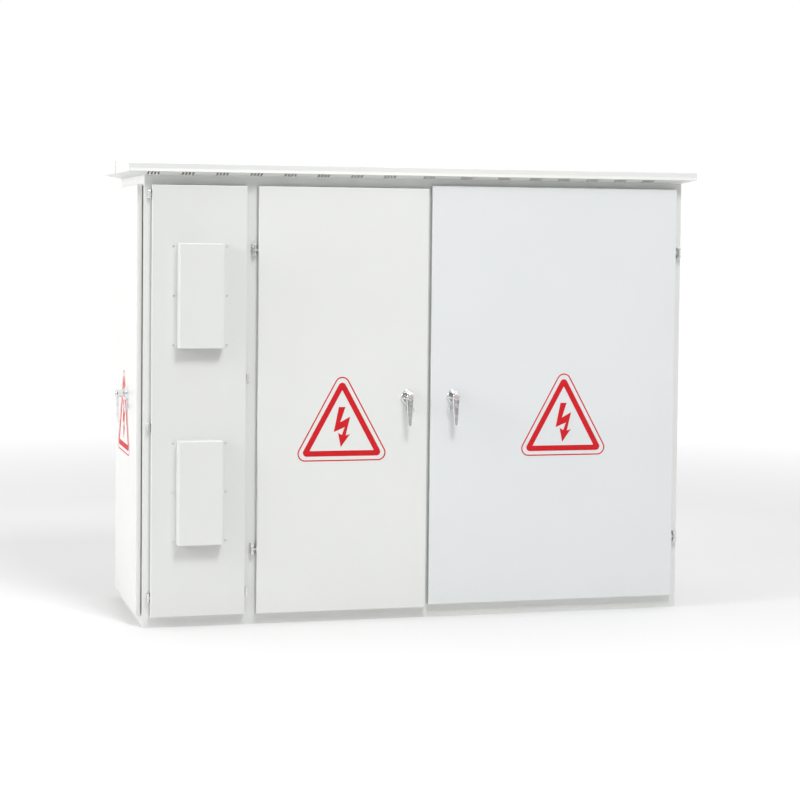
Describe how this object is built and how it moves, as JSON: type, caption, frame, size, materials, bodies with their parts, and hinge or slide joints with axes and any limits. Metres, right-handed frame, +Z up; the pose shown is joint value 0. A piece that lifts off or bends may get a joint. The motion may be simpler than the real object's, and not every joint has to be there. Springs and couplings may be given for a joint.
{
  "type": "pad-mounted transformer",
  "caption": "White sheet-steel kiosk transformer cabinet with a sloped rain roof, three front doors, a side door, vent hoods and lever locks.",
  "frame": {"origin": "centre of the four anchor bolt holes, on the ground, at the middle of the cabinet's footprint", "axes": "+X to the right as seen from the front, +Y to the back (the doors face -Y), +Z up"},
  "size_m": [2.1276, 0.7566, 1.675],
  "materials": {
    "cabinet_paint": "satin light grey-white powder coat",
    "base_paint": "dark grey paint",
    "zinc_sheet": "galvanised sheet",
    "plated_steel": "bright zinc-plated steel",
    "chrome_casting": "polished chrome on a zinc casting",
    "lock_brass": "nickel-plated lock plug",
    "seal_rubber": "black moulded rubber",
    "tank_paint": "grey-green tank paint",
    "glazed_insulator": "glazed brown insulator",
    "core_steel": "stacked electrical steel",
    "winding_enamel": "enamelled copper winding",
    "breaker_plastic": "dark moulded case",
    "toggle_plastic": "red moulded toggle",
    "meter_plastic": "light grey moulded case",
    "copper": "bare copper bar"
  },
  "bodies": {
    "cabinet": {"base_frame": "base_paint", "floor_plate": "zinc_sheet", "front_frame": "cabinet_paint", "left_frame": "cabinet_paint", "right_wall": "cabinet_paint", "back_wall": "cabinet_paint", "hv_partition": "zinc_sheet", "lv_partition": "zinc_sheet", "roof_cap": "cabinet_paint", "eave_soffit": "cabinet_paint", "door_gaskets": "seal_rubber", "hinge_blocks": "plated_steel", "hinge_pins": "plated_steel", "tank": "tank_paint", "tank_lid": "tank_paint", "hv_bushings": "glazed_insulator", "lv_bushings": "glazed_insulator", "hv_elbows": "seal_rubber", "core": "core_steel", "windings": "winding_enamel", "mounting_plate": "zinc_sheet", "main_breaker": "breaker_plastic", "feeder_breakers": "breaker_plastic", "energy_meter": "meter_plastic", "busbars": "copper"},
    "narrow_door": {"narrow_door_panel": "cabinet_paint", "narrow_hinge_leaves": "plated_steel", "lower_vent_hood": "cabinet_paint", "upper_vent_hood": "cabinet_paint", "hood_screws": "plated_steel"},
    "middle_door": {"middle_door_panel": "cabinet_paint", "middle_hinge_leaves": "plated_steel", "middle_rose": "chrome_casting"},
    "right_door": {"right_door_panel": "cabinet_paint", "right_hinge_leaves": "plated_steel", "right_rose": "chrome_casting"},
    "side_door": {"side_door_panel": "cabinet_paint", "side_hinge_leaves": "plated_steel", "side_rose": "chrome_casting"},
    "lower_turn_button": {"lower_turn_button": "plated_steel"},
    "upper_turn_button": {"upper_turn_button": "plated_steel"},
    "main_toggle": {"main_toggle": "toggle_plastic"},
    "feeder_toggle_1": {"feeder_toggle_1": "toggle_plastic"},
    "feeder_toggle_2": {"feeder_toggle_2": "toggle_plastic"},
    "feeder_toggle_3": {"feeder_toggle_3": "toggle_plastic"},
    "middle_lever": {"middle_lever": "chrome_casting", "middle_cam": "plated_steel"},
    "middle_lock_plug": {"middle_lock_plug": "lock_brass"},
    "middle_upper_rod": {"middle_upper_rod": "plated_steel"},
    "middle_lower_rod": {"middle_lower_rod": "plated_steel"},
    "right_lever": {"right_lever": "chrome_casting", "right_cam": "plated_steel"},
    "right_lock_plug": {"right_lock_plug": "lock_brass"},
    "right_upper_rod": {"right_upper_rod": "plated_steel"},
    "right_lower_rod": {"right_lower_rod": "plated_steel"},
    "side_lever": {"side_lever": "chrome_casting", "side_cam": "plated_steel"},
    "side_lock_plug": {"side_lock_plug": "lock_brass"},
    "side_upper_rod": {"side_upper_rod": "plated_steel"},
    "side_lower_rod": {"side_lower_rod": "plated_steel"}
  },
  "joints": [
    {"name": "narrow_door_hinge", "type": "hinge", "parent": "cabinet", "child": "narrow_door", "pos_m": [-0.9925, -0.337, 0.8], "axis": [0, 0, -1], "range_deg": [0, 115]},
    {"name": "middle_door_hinge", "type": "hinge", "parent": "cabinet", "child": "middle_door", "pos_m": [-0.62, -0.337, 0.8], "axis": [0, 0, -1], "range_deg": [0, 115]},
    {"name": "right_door_hinge", "type": "hinge", "parent": "cabinet", "child": "right_door", "pos_m": [0.999, -0.337, 0.8], "axis": [0, 0, 1], "range_deg": [0, 115]},
    {"name": "side_door_hinge", "type": "hinge", "parent": "cabinet", "child": "side_door", "pos_m": [-1.022, 0.3065, 0.8], "axis": [0, 0, -1], "range_deg": [0, 115]},
    {"name": "middle_lever_turn", "type": "hinge", "parent": "middle_door", "child": "middle_lever", "pos_m": [-0.054, -0.385, 0.812], "axis": [0, 1, 0], "range_deg": [0, 90]},
    {"name": "middle_key_turn", "type": "hinge", "parent": "middle_lever", "child": "middle_lock_plug", "pos_m": [-0.054, -0.385, 0.812], "axis": [0, 1, 0], "range_deg": [0, 90]},
    {"name": "right_lever_turn", "type": "hinge", "parent": "right_door", "child": "right_lever", "pos_m": [0.12, -0.385, 0.812], "axis": [0, -1, 0], "range_deg": [0, 90]},
    {"name": "right_key_turn", "type": "hinge", "parent": "right_lever", "child": "right_lock_plug", "pos_m": [0.12, -0.385, 0.812], "axis": [0, -1, 0], "range_deg": [0, 90]},
    {"name": "side_lever_turn", "type": "hinge", "parent": "side_door", "child": "side_lever", "pos_m": [-1.07, -0.063, 0.812], "axis": [1, 0, 0], "range_deg": [0, 90]},
    {"name": "side_key_turn", "type": "hinge", "parent": "side_lever", "child": "side_lock_plug", "pos_m": [-1.07, -0.063, 0.812], "axis": [1, 0, 0], "range_deg": [0, 90]},
    {"name": "middle_upper_rod_slide", "type": "slide", "parent": "middle_door", "child": "middle_upper_rod", "axis": [0, 0, 1], "range_m": [0, 0.02264]},
    {"name": "middle_lower_rod_slide", "type": "slide", "parent": "middle_door", "child": "middle_lower_rod", "axis": [0, 0, -1], "range_m": [0, 0.02264]},
    {"name": "right_upper_rod_slide", "type": "slide", "parent": "right_door", "child": "right_upper_rod", "axis": [0, 0, 1], "range_m": [0, 0.02264]},
    {"name": "right_lower_rod_slide", "type": "slide", "parent": "right_door", "child": "right_lower_rod", "axis": [0, 0, -1], "range_m": [0, 0.02264]},
    {"name": "side_upper_rod_slide", "type": "slide", "parent": "side_door", "child": "side_upper_rod", "axis": [0, 0, 1], "range_m": [0, 0.02264]},
    {"name": "side_lower_rod_slide", "type": "slide", "parent": "side_door", "child": "side_lower_rod", "axis": [0, 0, -1], "range_m": [0, 0.02264]},
    {"name": "lower_button_turn", "type": "hinge", "parent": "cabinet", "child": "lower_turn_button", "pos_m": [-0.643, -0.35, 0.1335], "axis": [0, 1, 0], "range_deg": [0, 90]},
    {"name": "upper_button_turn", "type": "hinge", "parent": "cabinet", "child": "upper_turn_button", "pos_m": [-0.643, -0.35, 0.8935], "axis": [0, 1, 0], "range_deg": [0, 90]},
    {"name": "main_toggle_turn", "type": "hinge", "parent": "cabinet", "child": "main_toggle", "pos_m": [0.2395, 0.16, 0.885], "axis": [1, 0, 0], "range_deg": [0, 40]},
    {"name": "feeder_toggle_1_turn", "type": "hinge", "parent": "cabinet", "child": "feeder_toggle_1", "pos_m": [0.4795, 0.175, 0.875], "axis": [1, 0, 0], "range_deg": [0, 40]},
    {"name": "feeder_toggle_2_turn", "type": "hinge", "parent": "cabinet", "child": "feeder_toggle_2", "pos_m": [0.6295, 0.175, 0.875], "axis": [1, 0, 0], "range_deg": [0, 40]},
    {"name": "feeder_toggle_3_turn", "type": "hinge", "parent": "cabinet", "child": "feeder_toggle_3", "pos_m": [0.7795, 0.175, 0.875], "axis": [1, 0, 0], "range_deg": [0, 40]}
  ],
  "couplings": [
    {"joint": "middle_upper_rod_slide", "follows": "middle_lever_turn", "m_per_rad": 0.014405},
    {"joint": "middle_lower_rod_slide", "follows": "middle_lever_turn", "m_per_rad": 0.014405},
    {"joint": "right_upper_rod_slide", "follows": "right_lever_turn", "m_per_rad": 0.014405},
    {"joint": "right_lower_rod_slide", "follows": "right_lever_turn", "m_per_rad": 0.014405},
    {"joint": "side_upper_rod_slide", "follows": "side_lever_turn", "m_per_rad": 0.014405},
    {"joint": "side_lower_rod_slide", "follows": "side_lever_turn", "m_per_rad": 0.014405}
  ]
}
